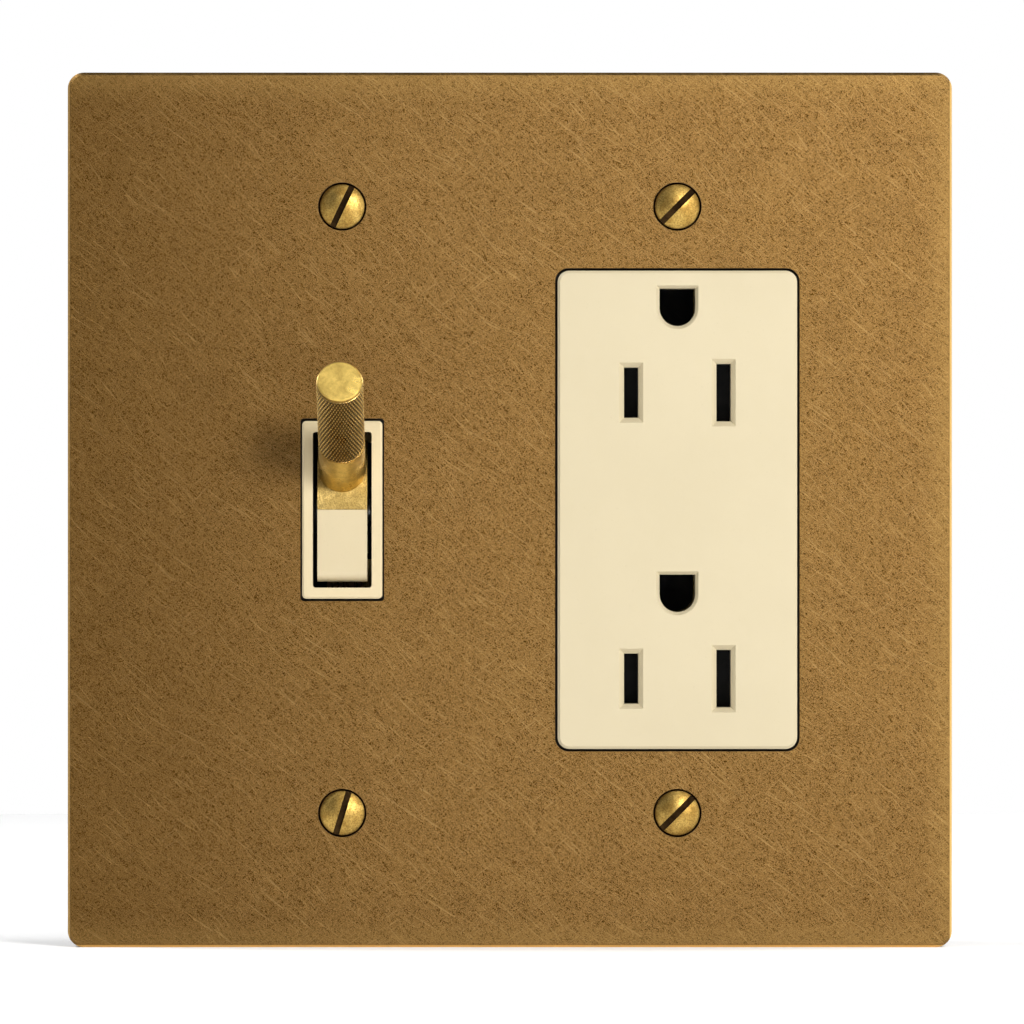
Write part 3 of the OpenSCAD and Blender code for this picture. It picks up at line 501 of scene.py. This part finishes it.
def piece(name, verts, faces, mat, body, replaced):
    """A mesh that rides on a body and stands in for CAD nodes."""
    mesh = bpy.data.meshes.new(name)
    mesh.from_pydata([tuple(v) for v in verts], [], faces)
    mesh.validate()
    bm = bmesh.new()
    bm.from_mesh(mesh)
    bmesh.ops.remove_doubles(bm, verts=bm.verts, dist=1e-7)
    bmesh.ops.recalc_face_normals(bm, faces=bm.faces)
    bm.to_mesh(mesh)
    bm.free()
    obj = bpy.data.objects.new(name, mesh)
    bpy.context.scene.collection.objects.link(obj)
    obj.data.materials.append(mat)
    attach(obj, body)
    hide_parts(*replaced)


def on_lever(radius, angle, s):
    """A point at a distance from the lever's axis, an angle round it, and a distance from the pivot."""
    return PIVOT + ALONG * s + (ACROSS * math.cos(angle) + OVER * math.sin(angle)) * radius


def knurled_grip():
    """Rows of small flat-topped diamonds between two plain rims, as a knurling wheel leaves them."""
    starts, half_rows = 44, 26
    # how much of the way to its neighbours each diamond's flat top reaches
    keep = 0.16
    s0, s1 = 19.4 * MM, 36.6 * MM
    rim, top_r, groove_r, bore_r = 0.20 * MM, 3.2 * MM, 2.95 * MM, 1.53 * MM
    a0, a1 = s0 + rim, s1 - rim
    step_s = (a1 - a0) / half_rows
    step_a = math.pi / starts
    verts, faces = [], []

    def add(r, ia, js):
        verts.append(on_lever(r, ia * step_a, a0 + js * step_s))
        return len(verts) - 1

    def corner(ia, js, di, dj):
        return add(top_r, ia + di * keep, min(max(js + dj * keep, 0), half_rows))

    for j in range(0, half_rows + 1):
        for i in range(j % 2, 2 * starts, 2):
            around = [(1, 0), (0, 1), (-1, 0), (0, -1)]
            if j == 0:
                around = [(1, 0), (0, 1), (-1, 0)]
            if j == half_rows:
                around = [(-1, 0), (0, -1), (1, 0)]
            low = [add(groove_r, i + di, j + dj) for di, dj in around]
            high = [corner(i, j, di, dj) for di, dj in around]
            faces.append(high)
            n = len(around)
            for k in range(n if n == 4 else n - 1):
                faces.append([low[k], low[(k + 1) % n], high[(k + 1) % n], high[k]])
            if n == 3:
                # the cut face of a half diamond at the end of the rows
                faces.append([low[0], high[0], high[2], low[2]])
    sides = 4 * starts
    rings = [(bore_r, s0), (top_r - 0.25 * MM, s0), (top_r - 0.04 * MM, s0 + 0.12 * MM),
             (top_r - 0.04 * MM, a0 - 0.04 * MM), (groove_r, a0)]
    for ends in (rings, [(r, s0 + s1 - s) for r, s in rings]):
        base = len(verts)
        for r, s in ends:
            verts.extend(on_lever(r, 2 * math.pi * k / sides, s) for k in range(sides))
        for q in range(len(ends) - 1):
            for k in range(sides):
                n = (k + 1) % sides
                faces.append([base + q * sides + k, base + q * sides + n,
                              base + (q + 1) * sides + n, base + (q + 1) * sides + k])
    base = len(verts)
    for s in (s0, s1):
        verts.extend(on_lever(bore_r, 2 * math.pi * k / sides, s) for k in range(sides))
    for k in range(sides):
        n = (k + 1) % sides
        faces.append([base + k, base + n, base + sides + n, base + sides + k])
    piece("knurled_grip", verts, faces, KNURL, LEVER, ("lever_grip",))


knurled_grip()


def plate_screws():
    """The CAD heads and necks, with real threads on the shanks behind the washers."""
    source = nodes["faceplate_screws"]
    lo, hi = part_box("faceplate_screws")
    head_r, slot_limit_y, slot_half_width = 3.05 * MM, -3.6 * MM, 0.44 * MM
    neck_end, thread_r, minor_r = 1.4 * MM, 1.75 * MM, 1.40 * MM
    tip = hi.y - 0.8 * MM
    pitch, sides, per_turn = 0.794 * MM, 32, 8
    mesh = source.data.copy()
    mesh.name = "plate_screws"
    bm = bmesh.new()
    bm.from_mesh(mesh)
    gone = [f for f in bm.faces if f.calc_center_median().y > neck_end - 0.01 * MM]
    bmesh.ops.delete(bm, geom=gone, context="FACES")
    bmesh.ops.dissolve_limit(bm, angle_limit=math.radians(0.6), verts=bm.verts, edges=bm.edges)
    # each screw's centre, left then right and lower before upper, with the slot's turn from upright
    columns, levels = (lo.x + head_r, hi.x - head_r), (lo.z + head_r, hi.z - head_r)
    centres = [(x, z) for x in columns for z in levels]
    turns = {(False, False): 17, (False, True): 25.5, (True, False): 45, (True, True): 45}
    rows = int((hi.y - neck_end) / pitch * per_turn)
    for cx, cz in centres:
        rings = []
        for j in range(rows + 1):
            y = neck_end + (hi.y - neck_end) * j / rows
            ring = []
            for k in range(sides):
                a = 2 * math.pi * k / sides
                phase = (y / pitch + k / sides) % 1.0
                flank = 1 - abs(2 * phase - 1)
                r = minor_r + (thread_r - minor_r) * min(1.0, max(0.0, flank * 1.35 - 0.15))
                if y > tip:
                    r = min(r, thread_r - (y - tip) * 0.9)
                ring.append(bm.verts.new((cx + r * math.cos(a), y, cz + r * math.sin(a))))
            rings.append(ring)
        for u, v in zip(rings, rings[1:]):
            for k in range(sides):
                n = (k + 1) % sides
                bm.faces.new((u[k], u[n], v[n], v[k]))
        bm.faces.new(rings[0])
        bm.faces.new(rings[-1])
    bmesh.ops.recalc_face_normals(bm, faces=bm.faces)
    in_slot = []
    for f in bm.faces:
        c = f.calc_center_median()
        x = c.x - math.copysign(columns[1], c.x)
        z = c.z - math.copysign(levels[1], c.z)
        a = math.radians(turns[c.x > 0, c.z > 0])
        across = abs(x * math.cos(a) - z * math.sin(a))
        in_slot.append(c.y < slot_limit_y and across < slot_half_width)
    bm.to_mesh(mesh)
    bm.free()
    obj = bpy.data.objects.new("plate_screws", mesh)
    bpy.context.scene.collection.objects.link(obj)
    wear(obj, SCREW)
    # the slot faces take the painted shade
    mesh.materials.append(SLOT_SHADE)
    for f, dark in zip(mesh.polygons, in_slot):
        f.material_index = int(dark)
    bev = obj.modifiers.new("edges", "BEVEL")
    bev.width, bev.segments = 0.11 * MM, 2
    bev.limit_method, bev.angle_limit = "ANGLE", math.radians(50)
    norm = obj.modifiers.new("shading", "WEIGHTED_NORMAL")
    norm.weight = 60
    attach(obj, ROOT)
    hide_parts("faceplate_screws")


plate_screws()


# ---------- floor ----------

def floor():
    """A plain pale floor at the part's lowest point."""
    size, z = 0.6, cad_box[0].z
    mesh = bpy.data.meshes.new("floor")
    corners = [(-size, -size, z), (size, -size, z), (size, size, z), (-size, size, z)]
    mesh.from_pydata(corners, [], [(0, 1, 2, 3)])
    obj = bpy.data.objects.new("floor", mesh)
    bpy.context.scene.collection.objects.link(obj)
    m = Mat("floor_paint", (0.93, 0.93, 0.93), 0.0, 0.9)
    tone = m.noise(6.0, 3.0)
    mesh.materials.append(m.done(m.mix(m.remap(tone, 0.3, 0.7), (0.92, 0.92, 0.92), (0.95, 0.95, 0.95))))


floor()
